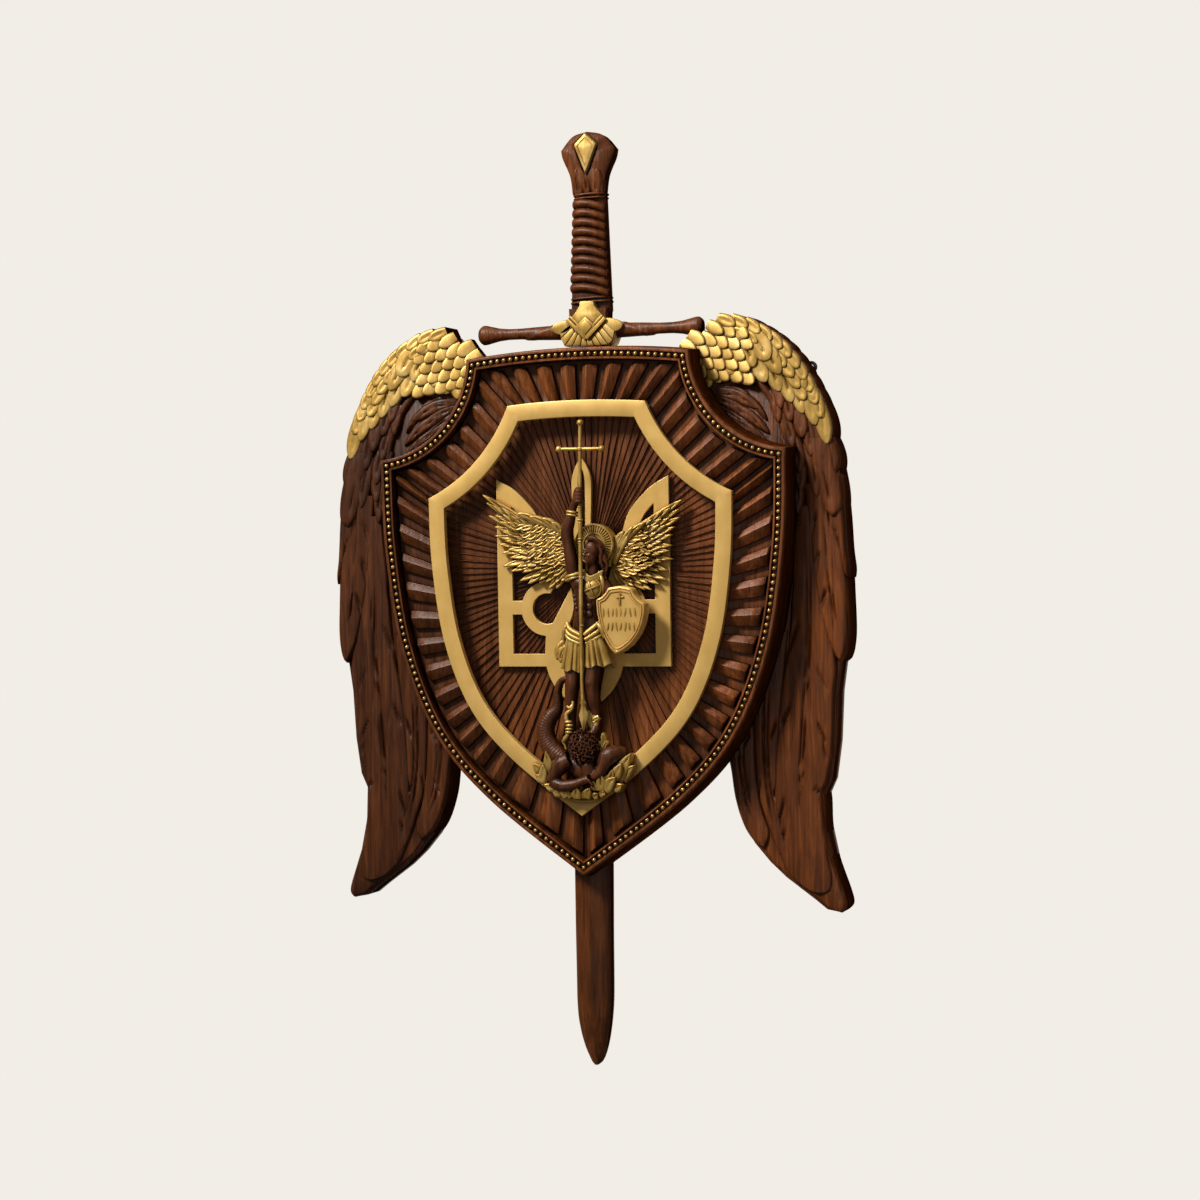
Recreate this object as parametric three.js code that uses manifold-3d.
// A carved wall plaque: a shield with a gilt frame, fretwork and a winged figure,
// laid over a pair of carved wings, with a sword let in behind the shield.
// Millimetres. X runs to the right, Z up, the wall is the plane y = 0 and the front faces -Y.
// Depths are given as distances out from the wall, so a depth of 27 is the plane y = -27.
import * as THREE from "three";
import { mergeVertices } from "three/addons/utils/BufferGeometryUtils.js";
import Module from "manifold-3d";

const wasm = await Module();
wasm.setup();

// Layers, as distances out from the wall
const FIT_GAP = 0.3;
const WINGS_THICK = 27;
const SHIELD_BACK = 23;
const SHIELD_THICK = 28;
const RIM_FLARE = 2.5;
const LIP_DEPTH = 3.2;
const GROUND_DEPTH = 13;
const FRAME_THICK = 5;
const FRAME_STAND = 2;
const FRET_THICK = 4;
const HILT_BACK = 11;
const HILT_FRONT = 27;
const BLADE_BACK = 18;
const BLADE_RIDGE = 35;

// Shield outline, on the line of the beads
const CROWN_Z = 179.5;
const CORNER_X = 84;
const CORNER_Z = 174.5;
const SHOULDER_X = 156.5;
const SHOULDER_Z = 100;
const HOLLOW_RADIUS = 84;
const WAIST_X = 142;
const WAIST_Z = -39.5;
const FLANK_X = 115.5;
const FLANK_Z = -104;
const TIP_Z = -206.5;
const RIM_OUT = 5;
const RIM_IN = 4;
const BEAD_CHANNEL = 4.2;

// Gilt frame, outer edge
const FRAME_TOP_Z = 145;
const FRAME_CORNER_X = 55;
const FRAME_CORNER_Z = 142.5;
const FRAME_SHOULDER_X = 121;
const FRAME_SHOULDER_Z = 74;
const FRAME_HOLLOW_RADIUS = 126;
const FRAME_TIP_Z = -167.5;
const FRAME_BAND = 12.7;

// Rays carved between the frame and the rim
const TOP_RAYS = 8;
const HOLLOW_RAYS = 6;
const SIDE_RAYS = 16;
const RAY_RISE = 6.5;
const RAY_SHARE = 0.62;
const RAY_FLOOR = 41;

// Fretwork emblem
const FRET_HALF_WIDTH = 69;
const FRET_BAR = 12;
const FRET_RAIL = 9.8;
const FRET_BOTTOM_Z = -55.5;
const FRET_HORN_Z = 87;
const FRET_CENTRE_Z = 102;
const FRET_POINT_Z = -82;
const RING_X = 29.2;
const RING_Z = -11.5;
const RING_OUTER = 20.8;
const RING_INNER = 11.5;
const LINK_Z = -10.6;
const LINK_WIDTH = 10.6;

// Sword
const SWORD_LEAN = 0.35;
const POMMEL_TOP_Z = 350;
const POMMEL_HALF = 21.5;
const GRIP_TOP_Z = 305;
const GRIP_BOTTOM_Z = 219;
const GRIP_TOP_RADIUS = 12.6;
const GRIP_BOTTOM_RADIUS = 15.8;
const GRIP_TURNS = 11;
const GUARD_Z = 199;
const GUARD_HALF = 90;
const GUARD_END_RADIUS = 7.4;
const GUARD_NECK_RADIUS = 4.2;
const GUARD_DEPTH = 20;
const SHELL_TOP_Z = 221;
const SHELL_BOTTOM_Z = 188;
const BLADE_HALF = 17;
const BLADE_SHOULDER_Z = -306;
const BLADE_TIP_Z = -361;
const BLADE_EDGE = 28;

// The wings' board sits a little to the left of the shield's middle
const WINGS_SHIFT = -5;

// Hanger plates let into the backs of the wings
const HANGER_X = 174;
const HANGER_Z = 166;
const HANGER_THICK = 1.5;
const HANGER_WIDTH = 9;
const HANGER_LENGTH = 30;
const HANGER_HOLE = 4;

const WOOD = 0x4a2815;
const GILT = 0xc09a4c;
const IRON = 0x2b2724;

// Geometry to solid and back

function solid(geometry) {
  const bare = geometry.index ? geometry.toNonIndexed() : geometry.clone();
  bare.deleteAttribute("normal");
  bare.deleteAttribute("uv");
  const merged = mergeVertices(bare, 1e-4);
  const vertProperties = new Float32Array(merged.attributes.position.array);
  const triVerts = new Uint32Array(merged.index.array);
  return new wasm.Manifold(new wasm.Mesh({ numProp: 3, vertProperties, triVerts }));
}

function join(parts) {
  return parts.reduce((whole, part) => whole.add(part));
}

function geometryOf(body) {
  const data = body.getMesh();
  const geometry = new THREE.BufferGeometry();
  geometry.setAttribute("position", new THREE.BufferAttribute(data.vertProperties, 3));
  geometry.setIndex(new THREE.BufferAttribute(data.triVerts, 1));
  return geometry;
}

function shifted(body, x, z) {
  return solid(geometryOf(body).translate(x, 0, z));
}

function turned(body, degrees) {
  return solid(geometryOf(body).rotateY((degrees * Math.PI) / 180));
}

// The same body on the other side of the plane x = 0.
function mirror(body) {
  const geometry = geometryOf(body).scale(-1, 1, 1);
  const order = geometry.index.array;
  for (let i = 0; i < order.length; i += 3) [order[i + 1], order[i + 2]] = [order[i + 2], order[i + 1]];
  return solid(geometry);
}

function mesh(name, body, colour, roughness, metalness) {
  const geometry = geometryOf(body);
  geometry.computeVertexNormals();
  const material = new THREE.MeshStandardMaterial({ color: colour, roughness, metalness });
  const made = new THREE.Mesh(geometry, material);
  made.name = name;
  return made;
}

// A flat shape drawn in X and Z, standing out from one depth to another.
function slab(shape, back, front, curveSegments = 6) {
  const depth = front - back;
  const geometry = new THREE.ExtrudeGeometry(shape, { depth, bevelEnabled: false, curveSegments });
  geometry.rotateX(Math.PI / 2);
  geometry.translate(0, -back, 0);
  return solid(geometry);
}

function polygon(points) {
  return new THREE.Shape(points.map(([x, z]) => new THREE.Vector2(x, z)));
}

function box(left, right, low, high) {
  return polygon([[left, low], [right, low], [right, high], [left, high]]);
}

function disc(x, z, radius) {
  return new THREE.Shape().absarc(x, z, radius, 0, Math.PI * 2);
}

function mirrored(points) {
  return points.map(([x, z]) => [-x, z]).reverse();
}

function ball(x, z, depth, rx, rz, ry, sides = 8) {
  const geometry = new THREE.SphereGeometry(1, sides, sides - 3);
  geometry.scale(rx, ry, rz);
  geometry.translate(x, -depth, z);
  return solid(geometry);
}

// A round bar between two points [x, z, depth], with its own radius at each end.
function bar(from, to, radiusFrom, radiusTo, sides = 6) {
  const a = new THREE.Vector3(from[0], -from[2], from[1]);
  const b = new THREE.Vector3(to[0], -to[2], to[1]);
  const along = b.clone().sub(a);
  const geometry = new THREE.CylinderGeometry(radiusTo, radiusFrom, along.length(), sides);
  const up = new THREE.Vector3(0, 1, 0);
  geometry.applyQuaternion(new THREE.Quaternion().setFromUnitVectors(up, along.clone().normalize()));
  geometry.translate(...a.add(b).multiplyScalar(0.5).toArray());
  return solid(geometry);
}

// A limb, tail or body: one round skin through a list of [x, z, depth, radius], closed at each end.
function limb(joints, sides = 6, flatten = 1) {
  const centre = ([x, z, depth]) => new THREE.Vector3(x, -depth, z);
  const rings = [];
  joints.forEach((joint, i) => {
    const before = centre(joints[Math.max(0, i - 1)]);
    const after = centre(joints[Math.min(joints.length - 1, i + 1)]);
    const along = after.sub(before).normalize();
    const across = new THREE.Vector3(0, 1, 0).cross(along).normalize();
    const out = along.clone().cross(across);
    const ring = (shift, scale) =>
      Array.from({ length: sides }, (_, k) => {
        const turn = (k / sides) * Math.PI * 2;
        const r = joint[3] * scale;
        return centre(joint)
          .addScaledVector(along, shift * joint[3])
          .addScaledVector(across, r * Math.cos(turn))
          .addScaledVector(out, r * flatten * Math.sin(turn));
      });
    if (i === 0) rings.push(ring(-0.75, 0.5));
    rings.push(ring(0, 1));
    if (i === joints.length - 1) rings.push(ring(0.75, 0.5));
  });
  return loft(rings);
}

// Curves of the shield, right half, as lists of [x, z]

// The concave arc between two points, bowed towards the middle of the shield.
function hollow(from, to, radius, steps) {
  const a = new THREE.Vector2(...from);
  const b = new THREE.Vector2(...to);
  const chord = b.clone().sub(a);
  const away = new THREE.Vector2(-chord.y, chord.x).normalize();
  const reach = Math.sqrt(radius * radius - chord.lengthSq() / 4);
  const centre = a.clone().add(b).multiplyScalar(0.5).addScaledVector(away, reach);
  const start = a.clone().sub(centre).angle();
  const end = b.clone().sub(centre).angle();
  return Array.from({ length: steps + 1 }, (_, i) => {
    const turn = start + ((end - start) * i) / steps;
    return [centre.x + radius * Math.cos(turn), centre.y + radius * Math.sin(turn)];
  });
}

function spline(points, steps) {
  const curve = new THREE.SplineCurve(points.map(([x, z]) => new THREE.Vector2(x, z)));
  return curve.getPoints(steps).map((p) => [p.x, p.y]);
}

function crown(centreZ, cornerX, cornerZ, steps) {
  return Array.from({ length: steps + 1 }, (_, i) => {
    const x = (cornerX * i) / steps;
    return [x, centreZ - (centreZ - cornerZ) * (x / cornerX) ** 2];
  });
}

// The three stretches of the bead line: top, hollow shoulder and side.
function shieldStretches(steps) {
  const side = [
    [SHOULDER_X, SHOULDER_Z],
    [SHOULDER_X - 2.5, 35],
    [WAIST_X, WAIST_Z],
    [FLANK_X, FLANK_Z],
    [72, -153],
    [0, TIP_Z],
  ];
  return [
    crown(CROWN_Z, CORNER_X, CORNER_Z, Math.round(steps / 3)),
    hollow([CORNER_X, CORNER_Z], [SHOULDER_X, SHOULDER_Z], HOLLOW_RADIUS, Math.round(steps / 2)),
    spline(side, steps),
  ];
}

// The frame's side keeps the shape of the shield's, drawn in towards the middle.
function frameStretches(steps) {
  const reach = (FRAME_TIP_Z - FRAME_SHOULDER_Z) / (TIP_Z - SHOULDER_Z);
  const inwards = FRAME_SHOULDER_X / SHOULDER_X;
  const side = shieldStretches(steps)[2].map(([x, z]) => [
    x * inwards,
    FRAME_SHOULDER_Z + (z - SHOULDER_Z) * reach,
  ]);
  const corner = [FRAME_CORNER_X, FRAME_CORNER_Z];
  const shoulder = [FRAME_SHOULDER_X, FRAME_SHOULDER_Z];
  return [
    crown(FRAME_TOP_Z, FRAME_CORNER_X, FRAME_CORNER_Z, Math.round(steps / 3)),
    hollow(corner, shoulder, FRAME_HOLLOW_RADIUS, Math.round(steps / 2)),
    side,
  ];
}

function closed(stretches) {
  const right = stretches.flatMap((points, i) => (i ? points.slice(1) : points));
  return [...right, ...mirrored(right).slice(1, -1)];
}

// The outline moved sideways by a distance, outwards when positive, with mitred corners.
function offset(points, distance) {
  return points.map((point, i) => {
    const p = new THREE.Vector2(...point);
    const before = new THREE.Vector2(...points.at(i - 1)).sub(p).normalize();
    const after = new THREE.Vector2(...points[(i + 1) % points.length]).sub(p).normalize();
    const normalIn = new THREE.Vector2(before.y, -before.x);
    const normalOut = new THREE.Vector2(-after.y, after.x);
    const mitre = normalIn.add(normalOut).normalize();
    const stretch = 1 / Math.max(0.35, Math.abs(mitre.dot(new THREE.Vector2(-after.y, after.x))));
    return [p.x + mitre.x * distance * stretch, p.y + mitre.y * distance * stretch];
  });
}

const OUTLINE_STEPS = 12;
const beadLine = closed(shieldStretches(OUTLINE_STEPS));
const rimOuter = offset(beadLine, RIM_OUT);
const rimInner = offset(beadLine, -RIM_IN);
const frameOuter = closed(frameStretches(OUTLINE_STEPS));
const frameInner = offset(frameOuter, -FRAME_BAND);
const shieldFront = SHIELD_BACK + SHIELD_THICK;
const groundFront = shieldFront - GROUND_DEPTH;
const frameBack = shieldFront + FRAME_STAND - FRAME_THICK;
const frameFront = shieldFront + FRAME_STAND;
const fretBack = groundFront + FIT_GAP;
const fretFront = fretBack + FRET_THICK;

// Shield

// A slab whose side slopes from one outline at the front to a wider one of as many points at the back.
function flared(outline, wider, back, front) {
  const depth = front - back;
  const geometry = new THREE.ExtrudeGeometry(polygon(outline), { depth, bevelEnabled: false });
  const position = geometry.attributes.position;
  for (let i = 0; i < position.count; i++) {
    if (position.getZ(i) > depth / 2) continue;
    const here = [position.getX(i), position.getY(i)];
    const nearest = outline.findIndex((point) => distance(point, here) < 0.01);
    position.setXY(i, ...wider[nearest]);
  }
  geometry.rotateX(Math.PI / 2);
  geometry.translate(0, -back, 0);
  return solid(geometry);
}

// One ray: a roof-shaped bar from a point on the frame to a point on the rim.
function ray(inner, outer, innerWidth, outerWidth) {
  const a = new THREE.Vector2(...inner);
  const b = new THREE.Vector2(...outer);
  const across = b.clone().sub(a).normalize();
  const side = new THREE.Vector2(-across.y, across.x);
  const corner = (p, sideways, depth) => {
    const q = p.clone().addScaledVector(side, sideways);
    return new THREE.Vector3(q.x, -depth, q.y);
  };
  const ring = (p, width) => [
    corner(p, -width / 2, RAY_FLOOR - 1),
    corner(p, width / 2, RAY_FLOOR - 1),
    corner(p, width / 2, RAY_FLOOR + RAY_RISE * 0.35),
    corner(p, -width * 0.08, RAY_FLOOR + RAY_RISE),
    corner(p, -width / 2, RAY_FLOOR + RAY_RISE * 0.35),
  ];
  return loft([ring(a, innerWidth), ring(b, outerWidth)]);
}

// A closed skin over rings of points, with a flat cap at each end.
function loft(rings) {
  const count = rings[0].length;
  const points = rings.flat();
  const faces = [];
  for (let r = 0; r + 1 < rings.length; r++) {
    for (let i = 0; i < count; i++) {
      const j = (i + 1) % count;
      const [a, b, c, d] = [r * count + i, r * count + j, (r + 1) * count + j, (r + 1) * count + i];
      faces.push(a, b, c, a, c, d);
    }
  }
  const last = (rings.length - 1) * count;
  for (let i = 1; i + 1 < count; i++) {
    faces.push(0, i + 1, i);
    faces.push(last, last + i, last + i + 1);
  }
  const geometry = new THREE.BufferGeometry().setFromPoints(points);
  geometry.setIndex(faces);
  const made = solid(geometry);
  if (made.volume() > 0) return made;
  for (let i = 0; i < faces.length; i += 3) [faces[i + 1], faces[i + 2]] = [faces[i + 2], faces[i + 1]];
  geometry.setIndex(faces);
  return solid(geometry);
}

function pointAlong(points, share) {
  const at = share * (points.length - 1);
  const i = Math.min(points.length - 2, Math.floor(at));
  return [0, 1].map((k) => points[i][k] + (points[i + 1][k] - points[i][k]) * (at - i));
}

function distance(a, b) {
  return Math.hypot(a[0] - b[0], a[1] - b[1]);
}

function rays() {
  const made = [];
  const inner = frameStretches(36);
  const outer = shieldStretches(36);
  [TOP_RAYS / 2, HOLLOW_RAYS, SIDE_RAYS].forEach((count, stretch) => {
    for (let i = 0; i < count; i++) {
      const share = (i + 0.5) / count;
      const low = pointAlong(inner[stretch], share);
      const high = pointAlong(outer[stretch], share);
      const step = 0.5 / count;
      const width = (line) =>
        RAY_SHARE * distance(pointAlong(line, share - step), pointAlong(line, share + step));
      const reach = distance(low, high);
      const towards = (length) => low.map((v, k) => v + ((high[k] - v) * length) / reach);
      const from = towards(-FRAME_BAND / 2);
      const to = towards(reach - RIM_IN - 2);
      const widths = [width(inner[stretch]), width(outer[stretch])];
      made.push(ray(from, to, ...widths));
      made.push(ray([-from[0], from[1]], [-to[0], to[1]], ...widths));
    }
  });
  return made;
}

function shield() {
  const lipFront = shieldFront - LIP_DEPTH;
  const body = flared(rimOuter, offset(beadLine, RIM_OUT + RIM_FLARE), SHIELD_BACK, shieldFront);
  const dish = slab(polygon(rimInner), RAY_FLOOR, shieldFront + 1);
  const channel = slab(polygon(offset(beadLine, BEAD_CHANNEL / 2)), lipFront, shieldFront + 1).subtract(
    slab(polygon(offset(beadLine, -BEAD_CHANNEL / 2)), lipFront - 1, shieldFront + 2),
  );
  const seat = slab(polygon(offset(frameOuter, -1.5)), RAY_FLOOR - 1, frameBack - FIT_GAP);
  const field = slab(polygon(offset(frameInner, 1.5)), groundFront, shieldFront + 1);
  return join([body.subtract(dish).subtract(channel), seat, ...rays()])
    .subtract(field)
    .subtract(frameClearance())
    .subtract(blade(FIT_GAP));
}

function frameClearance() {
  return slab(polygon(offset(frameOuter, FIT_GAP)), frameBack - FIT_GAP, shieldFront + 10);
}

function shieldFrame() {
  const outer = slab(polygon(frameOuter), frameBack, frameFront);
  return outer.subtract(slab(polygon(frameInner), frameBack - 1, frameFront + 1));
}

// Fretwork emblem, drawn as its right half and mirrored

function fretHalf() {
  const x = FRET_HALF_WIDTH;
  const inner = x - FRET_BAR;
  const low = FRET_BOTTOM_Z;
  const upright = polygon([[inner, low], [x, low], [x, FRET_HORN_Z], [inner, FRET_HORN_Z - 8]]);
  const rail = box(0, x, low, low + FRET_RAIL);
  const linkFrom = RING_X + RING_INNER + 1;
  const link = box(linkFrom, inner + 1, LINK_Z - LINK_WIDTH / 2, LINK_Z + LINK_WIDTH / 2);
  const horn = polygon([
    ...spline([[x, FRET_HORN_Z], [56, 80], [45.5, 70.5], [37, 60], [32, 46], [26, 28], [20, 9]], 9),
    ...spline([[28, 1], [35, 22], [42.5, 41], [48, 56], [57, 66.5], [x, 69]], 8),
  ]);
  const stemOuter = [[9.5, 4.5], [24.1, -22.8], [30.6, -31.4], [31.5, low + 4]];
  const stemInner = [[20, low + 4], [18.5, -36], [14, -28], [9, -17.6], [7.3, -7.5]];
  const stem = polygon([...stemOuter, ...stemInner]);
  const leg = polygon([[17, low + 1], [15.5, -61], [12.6, FRET_POINT_Z + 5], [13, FRET_POINT_Z],
    ...spline([[21.5, -74], [27.6, -64], [30.5, low + 1]], 4)]);
  const top = [[0, FRET_CENTRE_Z], [2.4, 99.5], [6.1, 93], [8.2, 85], [8.2, 74]];
  const prong = polygon([...top, [7, 50], [5.5, 20], [5.5, low + 4], [0, low + 4]]);
  const slot = polygon([[-1, 96], [0, 96], [2.2, 91.5], [3.6, 84], [3.6, 74], [2.4, 20], [0, 0], [-1, 0]]);
  const ring = slab(disc(RING_X, RING_Z, RING_OUTER), fretBack, fretFront, 8);
  const bore = slab(disc(RING_X, RING_Z, RING_INNER), fretBack - 1, fretFront + 1, 6);
  const gap = slab(polygon([[27, 0], [20, 10], [9, 6], [23, -22.5]]), fretBack - 1, fretFront + 1);
  const bars = [upright, rail, link, horn, leg, prong].map((shape) => slab(shape, fretBack, fretFront));
  const open = join([ring, ...bars]).subtract(bore).subtract(gap);
  const lancet = open.subtract(slab(slot, fretBack - 1, fretFront + 1));
  return lancet.add(slab(stem, fretBack, fretFront));
}

function fretwork() {
  const half = fretHalf();
  return half.add(mirror(half));
}

// Sword

function lean(body) {
  return turned(body, SWORD_LEAN);
}

// The blade, grown by a clearance when it serves as the slot that receives it.
function blade(clearance) {
  const section = (z, half, ridge) => {
    const w = half + clearance;
    const back = BLADE_BACK - clearance;
    const edge = Math.min(BLADE_EDGE, ridge - 2.5) + clearance;
    const at = (x, depth) => new THREE.Vector3(x, -depth, z);
    const bevel = edge + 1.5;
    const crest = at(0, ridge + clearance);
    return [at(-w, back), at(w, back), at(w, edge), at(w * 0.8, bevel), crest, at(-w * 0.8, bevel), at(-w, edge)];
  };
  const narrow = BLADE_HALF * 0.79;
  return lean(
    loft([
      section(SHELL_BOTTOM_Z + 4, BLADE_HALF, BLADE_RIDGE),
      section(BLADE_SHOULDER_Z, narrow, BLADE_RIDGE - 2),
      section(BLADE_SHOULDER_Z - 20, narrow * 0.88, BLADE_RIDGE - 4),
      section(BLADE_SHOULDER_Z - 38, narrow * 0.55, BLADE_RIDGE - 7),
      section(BLADE_TIP_Z, 0.6, BLADE_BACK + 4),
    ]),
  );
}

// A four-cornered stone: its top, its foot, the height of its wide point and half its width.
function lozenge(top, foot, wideZ, half) {
  return polygon([[0, top], [half, wideZ], [0, foot], [-half, wideZ]]);
}

function pommel() {
  const shoulderZ = POMMEL_TOP_Z - 14;
  const right = [
    ...spline([[0, POMMEL_TOP_Z], [11, POMMEL_TOP_Z - 3.5], [POMMEL_HALF, shoulderZ]], 4),
    ...spline([[POMMEL_HALF - 1, shoulderZ - 5], [14, shoulderZ - 18], [11.5, GRIP_TOP_Z]], 4),
  ];
  const outline = [...right, ...mirrored(right)].slice(0, -1);
  const panel = outline.map(([x, z]) => [x * 0.72, shoulderZ + (z - shoulderZ) * 0.82]);
  const stone = lozenge(POMMEL_TOP_Z - 1.5, POMMEL_TOP_Z - 30, POMMEL_TOP_Z - 10, POMMEL_HALF / 2);
  const body = slab(polygon(outline), HILT_BACK, HILT_FRONT - 3);
  const raised = slab(polygon(panel), HILT_BACK, HILT_FRONT - 1);
  return join([body, raised, slab(stone, HILT_BACK, HILT_FRONT + 2)]);
}

// The grip is turned with slanting bands and cut flat at the back.
function grip() {
  const height = GRIP_TOP_Z - GRIP_BOTTOM_Z + 4;
  const profile = [new THREE.Vector2(0, 0)];
  for (let i = 0; i <= GRIP_TURNS * 2; i++) {
    const share = i / (GRIP_TURNS * 2);
    const base = GRIP_BOTTOM_RADIUS + (GRIP_TOP_RADIUS - GRIP_BOTTOM_RADIUS) * share;
    profile.push(new THREE.Vector2(i % 2 ? base : base - 1.4, height * share));
  }
  profile.push(new THREE.Vector2(0, height));
  const geometry = new THREE.LatheGeometry(profile, 10);
  geometry.scale(1, 1, 0.65);
  geometry.rotateX(Math.PI / 2);
  geometry.translate(0, -(HILT_BACK + HILT_FRONT - 2) / 2, GRIP_BOTTOM_Z - 2);
  const slant = new THREE.Matrix4().set(1, 0, 0, 0, 0, 1, 0, 0, 0.18, 0, 1, 0, 0, 0, 0, 1);
  return solid(geometry.applyMatrix4(slant));
}

function guardArm() {
  const profile = [
    [0, 0], [6, 0], [5.6, 28], [GUARD_NECK_RADIUS, 56], [GUARD_NECK_RADIUS, 66],
    [GUARD_NECK_RADIUS + 1, 74], [GUARD_END_RADIUS - 0.6, GUARD_HALF - 9],
    [GUARD_END_RADIUS, GUARD_HALF - 7], [GUARD_END_RADIUS, GUARD_HALF], [0, GUARD_HALF],
  ];
  const geometry = new THREE.LatheGeometry(profile.map(([r, x]) => new THREE.Vector2(r, x)), 8);
  geometry.rotateZ(-Math.PI / 2);
  geometry.translate(0, -GUARD_DEPTH, GUARD_Z);
  return solid(geometry);
}

// The gilt shell on the guard: a collar above, leaf tips at the sides and a ribbed fan below.
function shell() {
  const right = [[6, SHELL_TOP_Z], [9, 215], [13, 208.5], [28, 202.5], [20.5, 194], [15, SHELL_BOTTOM_Z]];
  const outline = [...right, ...mirrored(right)];
  const plate = slab(polygon(outline), HILT_BACK, HILT_FRONT + 2);
  const stone = slab(lozenge(GUARD_Z + 10.5, GUARD_Z - 5.5, GUARD_Z + 2.5, 8), HILT_FRONT, HILT_FRONT + 4);
  const ribs = [-2, -1, 0, 1, 2].map((i) =>
    bar([i * 3, 194, HILT_FRONT + 1.5], [i * 6.5, SHELL_BOTTOM_Z + 3, HILT_FRONT + 1.5], 1.2, 2),
  );
  return join([plate, stone, ...ribs]);
}

function sword() {
  const arm = guardArm();
  const half = GRIP_BOTTOM_RADIUS - 0.5;
  const collar = slab(box(-half, half, GUARD_Z - 7, GRIP_BOTTOM_Z + 4), HILT_BACK, HILT_FRONT - 1);
  const hilt = join([pommel(), grip(), collar, arm, mirror(arm), shell()]);
  const wide = GUARD_HALF + 30;
  const behind = slab(box(-wide, wide, SHELL_BOTTOM_Z - 20, POMMEL_TOP_Z + 10), -20, HILT_BACK);
  return lean(hilt.subtract(behind)).add(blade(0));
}

// Wings, drawn as the right one and mirrored; the middle of the board is hidden by the shield

const WING_TOP = [
  [80, 180], [98, 188], [107, 200], [118, 203], [130, 201], [149, 189.5], [166, 175], [181, 151],
];
const WING_OUTER = [
  [190, 132], [196, 108], [200, 88], [203, 60], [204.5, 35], [206, -28], [204.5, -42], [199, -54],
];
const WING_SIDE = [
  [196, -75], [194, -112], [190, -140], [185, -151], [186, -176], [191, -200], [199, -223], [201, -233],
];
const WING_INNER = [
  [197, -238], [186, -236], [177, -229], [155, -213], [143, -202], [131, -188], [123, -175],
  [116.5, -155], [113.5, -134], [109, -112],
];
const WING_ROOT_Z = [146, -112];
const WING_OUTLINE = [
  [0, WING_ROOT_Z[0]], [66, WING_ROOT_Z[0]],
  ...WING_TOP, ...WING_OUTER, ...WING_SIDE, ...WING_INNER,
  [0, WING_ROOT_Z[1]],
];
const SCALE_LENGTH = 15;
const SCALE_WIDTH = 11.5;
const COVERT_WIDTH = 12.5;
const TUFT_FLOOR = 21;

// A feather outline: straight sides that swell a little, and a rounded or pointed tip.
function feather(root, angle, length, width, point = 0.35) {
  const turn = (angle * Math.PI) / 180;
  const along = [Math.cos(turn), Math.sin(turn)];
  const outline = [
    [0, -0.34], [0.5, -0.5], [1 - point * 0.35, -0.34], [1, 0],
    [1 - point * 0.35, 0.34], [0.5, 0.5], [0, 0.34],
  ];
  return outline.map(([u, v]) => [
    root[0] + along[0] * u * length - along[1] * v * width,
    root[1] + along[1] * u * length + along[0] * v * width,
  ]);
}

// Rows of gilt scales over the shoulder of the wing; each row steps towards the wing's tip.
function scales() {
  const made = [];
  const rows = [
    { from: [90, 158], to: [98, 184], count: 3, angle: -25 },
    { from: [100, 162], to: [108, 191], count: 3, angle: -28 },
    { from: [111, 168], to: [120, 194], count: 3, angle: -32 },
    { from: [122, 170], to: [132, 190], count: 2, angle: -38 },
    { from: [132, 168], to: [144, 184], count: 2, angle: -44 },
  ];
  rows.forEach(({ from, to, count, angle }, row) => {
    for (let i = 0; i < count; i++) {
      const share = count > 1 ? i / (count - 1) : 0.5;
      const root = from.map((v, k) => v + (to[k] - v) * share);
      const outline = feather(root, angle, SCALE_LENGTH, SCALE_WIDTH, 0.7);
      made.push(slab(polygon(outline), WINGS_THICK - 1, WINGS_THICK + 3.4 - row * 0.5));
    }
  });
  return made;
}

// Long gilt coverts hang from under the scales to the gilt edge.
function gildedCoverts() {
  const tips = [[133, 160], [145, 156], [155, 147], [165, 137], [176, 127], [185, 115], [193, 104]];
  const made = tips.map((tip, i) => {
    const angle = -44 - i * 4;
    const length = 30 + i * 2;
    const turn = (angle * Math.PI) / 180;
    const root = [tip[0] - Math.cos(turn) * length, tip[1] - Math.sin(turn) * length];
    const outline = feather(root, angle, length, COVERT_WIDTH, 0.8);
    return slab(polygon(outline), WINGS_THICK - 1, WINGS_THICK + 1.2 + (i % 2) * 0.5);
  });
  return made;
}

// The short feathers of the inner wing, in a sunk ground beside the shield.
function tuft() {
  const spread = [
    { root: [104, 148], angle: 12, length: 32, width: 12 },
    { root: [104, 144], angle: -22, length: 34, width: 14 },
    { root: [104, 140], angle: -42, length: 40, width: 9 },
    { root: [118, 138], angle: -34, length: 34, width: 11 },
  ];
  return spread.map(({ root, angle, length, width }, i) =>
    slab(polygon(feather(root, angle, length, width, 0.7)), TUFT_FLOOR - 1, WINGS_THICK - 0.6 * i),
  );
}

// A groove with sloping walls cut along a curve, to part one long feather from the next.
function groove(points, width = 2.4, depth = 3, steps = 9) {
  const line = spline(points, steps);
  const rings = line.map((point, i) => {
    const before = line[Math.max(0, i - 1)];
    const after = line[Math.min(line.length - 1, i + 1)];
    const run = distance(before, after);
    const side = [-(after[1] - before[1]) / run, (after[0] - before[0]) / run];
    const at = (sideways, out) =>
      new THREE.Vector3(point[0] + side[0] * sideways, -(WINGS_THICK + out), point[1] + side[1] * sideways);
    return [at(-width, 1.5), at(width, 1.5), at(0, -depth)];
  });
  return loft(rings);
}

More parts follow.
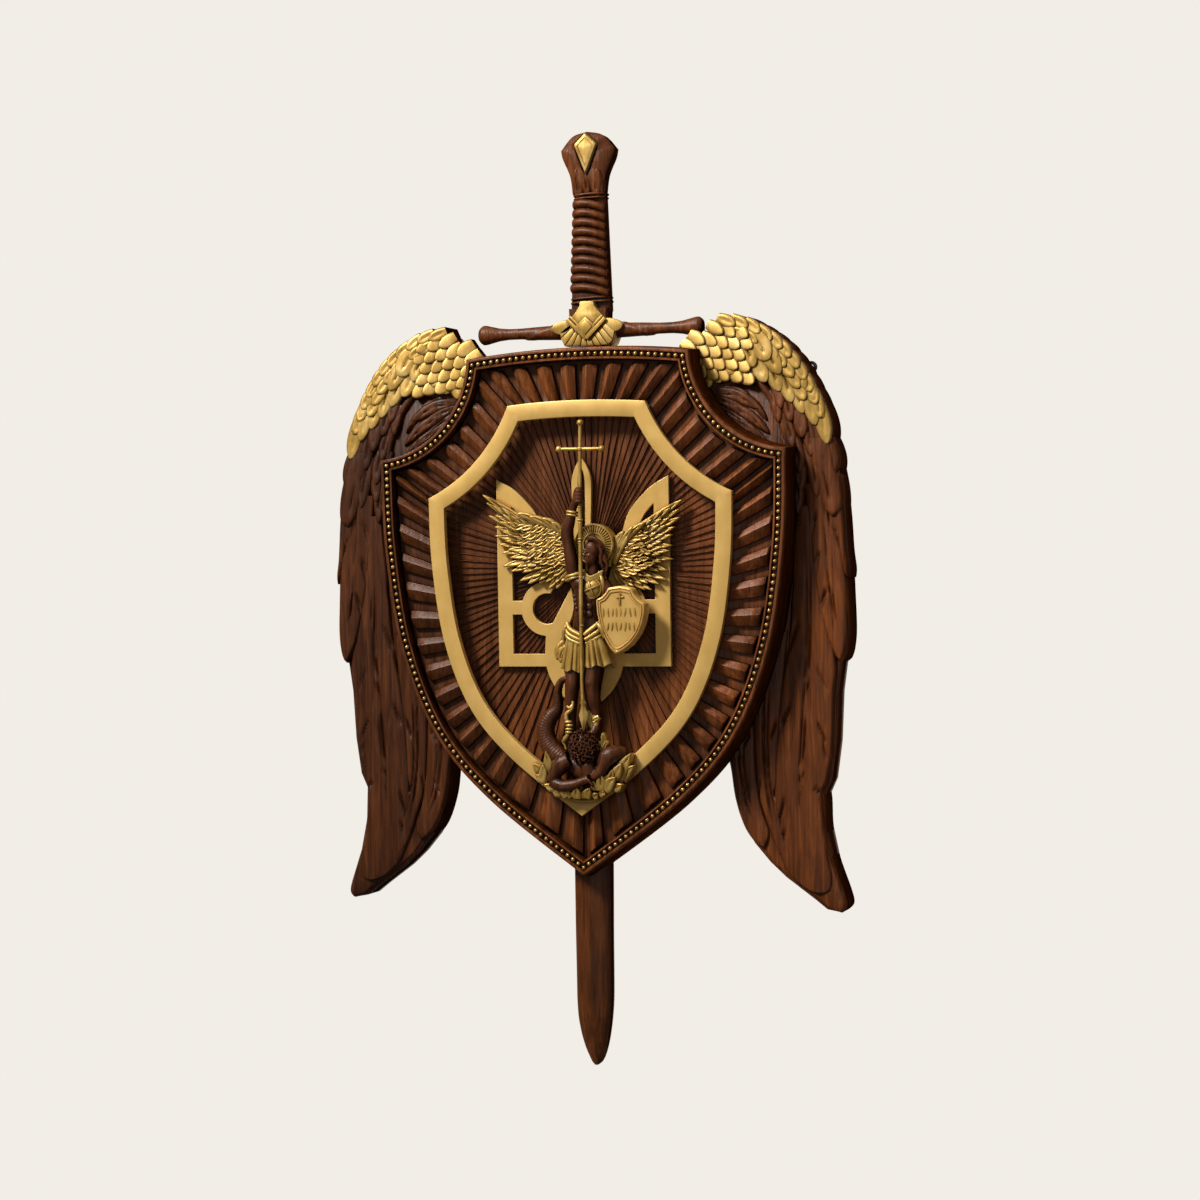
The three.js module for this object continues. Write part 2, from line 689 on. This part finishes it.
function grooves() {
  return [
    [[176, 100], [188, 50], [190, 0], [199, -55]],
    [[164, 90], [172, 30], [176, -60], [180, -110], [188, -152]],
    [[158, 60], [160, -20], [164, -100], [172, -160], [192, -214]],
    [[163, 30], [153, -40], [142, -110], [146, -170], [170, -212]],
    [[150, -40], [134, -100], [124, -150], [133, -185]],
  ].map((points) => groove(points));
}

function hangerTrim(growth) {
  const r = HANGER_WIDTH / 2 + growth;
  const shape = new THREE.Shape();
  shape.absarc(0, 0, r, -Math.PI / 2, Math.PI / 2);
  shape.lineTo(-HANGER_LENGTH - growth, r);
  shape.lineTo(-HANGER_LENGTH - growth, -r);
  return shape;
}

// The hanger plate lies in a pocket, square to the wing's edge, with its eye just past the edge.
function hangerPlate(growth, back, front) {
  const body = slab(hangerTrim(growth), back, front);
  return shifted(turned(body, -45), HANGER_X, HANGER_Z);
}

function hanger() {
  const bore = slab(new THREE.Shape().absarc(0, 0, HANGER_HOLE / 2, 0, Math.PI * 2), -1, HANGER_THICK + 1);
  return hangerPlate(0, 0, HANGER_THICK).subtract(shifted(bore, HANGER_X, HANGER_Z));
}

function rightWing() {
  const ground = [[163, 92], [157, 118], [146, 138], [128, 158], [110, 158]];
  const sunk = polygon([...hollow([88, 150], [150, 104], HOLLOW_RADIUS, 5), ...ground]);
  const body = slab(polygon(WING_OUTLINE), 0, WINGS_THICK).subtract(slab(sunk, TUFT_FLOOR, WINGS_THICK + 1));
  const carved = join([body, ...tuft(), ...scales(), ...gildedCoverts()]);
  return carved.subtract(join(grooves())).subtract(hangerPlate(FIT_GAP, -1, HANGER_THICK + FIT_GAP));
}

function wings() {
  const right = rightWing();
  const rim = offset(beadLine, RIM_OUT + RIM_FLARE + FIT_GAP);
  const seat = slab(polygon(rim), SHIELD_BACK - FIT_GAP, WINGS_THICK + 10);
  return shifted(right.add(mirror(right)), WINGS_SHIFT, 0).subtract(seat).subtract(blade(FIT_GAP));
}

// Winged figure on the fallen one, with lance, small shield and leaf base, carved in one

const FIGURE_BACK = fretFront + FIT_GAP;
const STAFF_OUT = 66;
const STAFF_TOP = [8.4, 126];
const STAFF_FOOT = [5.6, -92];
const STAFF_ARM = 16;
const STAFF_ARM_Z = 107.5;
const BODY_OUT = 55;
const TARGE_X = 34.5;
const TARGE_Z = -18;
const TARGE_OUT = 62;
const HALO = [16.5, 34.5];
const HALO_RADIUS = 15.5;
const BASE_OUT = 57;

function figureWing(outline, depth, thick, side) {
  const plate = slab(polygon(outline), FIGURE_BACK, depth);
  const shoulder = outline.map(([x, z]) => [side.x + (x - side.x) * 0.62, side.z + (z - side.z) * 0.62]);
  return plate.add(slab(polygon(shoulder), FIGURE_BACK, depth + thick));
}

function figureWings() {
  const left = [
    [4, 20], [2, 36], [-14, 46], [-20, 52], [-42, 59], [-60, 63], [-79, 75], [-75, 62], [-70, 52], [-70, 40],
    [-64, 34], [-64, 24], [-57, 20], [-54, 11], [-44, 12], [-38, 5], [-28, 9], [-24, 1], [-14, 8], [0, 4],
  ];
  const right = [
    [8, 16], [20, 36], [30, 44], [42, 50], [58, 54], [78, 68], [75, 56], [70, 48], [72, 38], [66, 30],
    [69, 20], [62, 16], [58, 7], [48, 5], [40, 6], [30, 0], [12, 0],
  ];
  return [
    figureWing(left, FIGURE_BACK + 6, 3, { x: -8, z: 24 }),
    figureWing(right, FIGURE_BACK + 6, 3, { x: 18, z: 20 }),
  ];
}

function smallShield() {
  const right = [[0, 3], [8, 2], [11.5, -4], [17, -7], [16.5, -21], [11, -35], [0, -46]];
  const outline = [...right, ...mirrored(right).slice(1, -1)];
  const lean = 0.05;
  const middle = [TARGE_X, TARGE_Z];
  const scaled = (scale) =>
    outline.map(([x, z]) => [middle[0] + x * scale + z * lean, middle[1] + (z + 20) * scale]);
  const border = slab(polygon(scaled(0.82)), TARGE_OUT - 1, TARGE_OUT + 2);
  return slab(polygon(scaled(1)), BODY_OUT - 1, TARGE_OUT).subtract(border);
}

// The staff with a cross on top, a knob on each end, and its point below.
function lance() {
  const [topX, topZ] = STAFF_TOP;
  const [footX, footZ] = STAFF_FOOT;
  const knob = (x, z, radius) => ball(x, z, STAFF_OUT, radius, radius, radius, 6);
  const left = topX - STAFF_ARM;
  const right = topX + STAFF_ARM;
  return [
    bar([topX, topZ, STAFF_OUT], [footX, footZ, STAFF_OUT], 1.4, 1.4),
    bar([left, STAFF_ARM_Z, STAFF_OUT], [right, STAFF_ARM_Z, STAFF_OUT], 1.4, 1.4),
    knob(topX, topZ, 2.6),
    knob(left, STAFF_ARM_Z, 2.4),
    knob(right, STAFF_ARM_Z, 2.4),
    bar([footX, footZ + 12, STAFF_OUT], [footX, footZ - 12, STAFF_OUT], 3.2, 0.8),
  ];
}

function archangelBody() {
  return [
    limb([[13, 14, 55, 8], [11, 2, 56, 12.5], [8, -15, 55, 10], [8, -32, 55, 11.5]], 8, 0.62),
    slab(polygon([[-4, -28], [20, -28], [23, -54], [10, -56], [2, -57], [-13, -53]]), FIGURE_BACK, 61),
    ball(16, 34, 60, 7, 11, 8.5),
    limb([[15, 26, 57, 6], [13, 14, 56, 7]]),
    ball(13, 5.5, 63, 7.5, 7.5, 3.5),
    limb([[2, 9, 58, 5.8], [-2, 22, 60, 5.2], [-4, 40, 62, 4.6], [0, 57, 64, 3.6], [6, 77, 66, 4.4]]),
    limb([[22, 4, 57, 6], [31, -18, 56, 4.5]]),
    limb([[-3, -48, 55, 6.8], [-5, -72, 59, 6], [-5, -90, 59, 5], [-3, -107, 57, 3.8]]),
    limb([[14, -48, 55, 7.2], [15, -73, 60, 6.2], [14, -88, 60, 5.2], [13, -101, 59, 4.4]]),
  ];
}

function halo() {
  return slab(disc(...HALO, HALO_RADIUS), FIGURE_BACK, FIGURE_BACK + 8, 8);
}

function fallenOne() {
  return [
    ball(3, -113, 62, 11, 11, 9),
    limb([[-12, -136, 58, 8], [4, -134, 59, 10], [24, -125, 59, 11], [36, -131, 58, 6]], 8, 0.8),
    limb([[-12, -126, 60, 5.5], [-17, -141, 61, 4.5], [8, -147, 62, 4.5]]),
    limb([[-10, -128, 50, 7], [-22, -114, 49, 6.8], [-25, -98, 48, 6.2], [-17, -82, 49, 5], [-9, -71, 52, 3.6]]),
  ];
}

function leafBase() {
  const arc = (share, drop) => [3 + 42 * Math.sin(share * 1.05), -113 + drop - 46 * Math.cos(share * 1.05)];
  const leaves = [-1, -0.72, -0.44, -0.16, 0.14, 0.42, 0.7, 1].map((share, i) => {
    const foot = arc(share, -1);
    const angle = 90 - share * 28;
    const length = Math.abs(share) > 0.6 ? 19 : 12;
    return slab(polygon(feather(foot, angle, length, 9, 1.2)), frameFront, BASE_OUT + 1 + (i % 3));
  });
  const band = Array.from({ length: 9 }, (_, i) => arc(-1 + i / 4, 3));
  const under = Array.from({ length: 9 }, (_, i) => arc(1 - i / 4, -3));
  return [slab(polygon([...band, ...under]), frameFront, BASE_OUT), ...leaves];
}

function archangel() {
  const figure = [...figureWings(), smallShield(), ...lance(), ...archangelBody(), halo()];
  const parts = [...figure, ...fallenOne(), ...leafBase()];
  const behind = slab(box(-200, 200, -220, 220), 0, FIGURE_BACK);
  const frameZone = slab(polygon(offset(frameOuter, 30)), 0, frameFront + FIT_GAP).subtract(
    slab(polygon(offset(frameInner, -FIT_GAP)), -1, frameFront + 2),
  );
  return join(parts).subtract(behind).subtract(frameZone);
}

const plaque = new THREE.Group();
const rightHanger = shifted(hanger(), WINGS_SHIFT, 0);
const leftHanger = shifted(mirror(hanger()), WINGS_SHIFT, 0);
plaque.add(mesh("wings", wings(), WOOD, 0.45, 0));
plaque.add(mesh("shield", shield(), WOOD, 0.45, 0));
plaque.add(mesh("sword", sword(), WOOD, 0.45, 0));
plaque.add(mesh("shield_frame", shieldFrame(), GILT, 0.35, 0.8));
plaque.add(mesh("fretwork", fretwork(), GILT, 0.35, 0.8));
plaque.add(mesh("archangel", archangel(), GILT, 0.35, 0.8));
plaque.add(mesh("right_hanger", rightHanger, IRON, 0.5, 0.9));
plaque.add(mesh("left_hanger", leftHanger, IRON, 0.5, 0.9));

export default plaque;
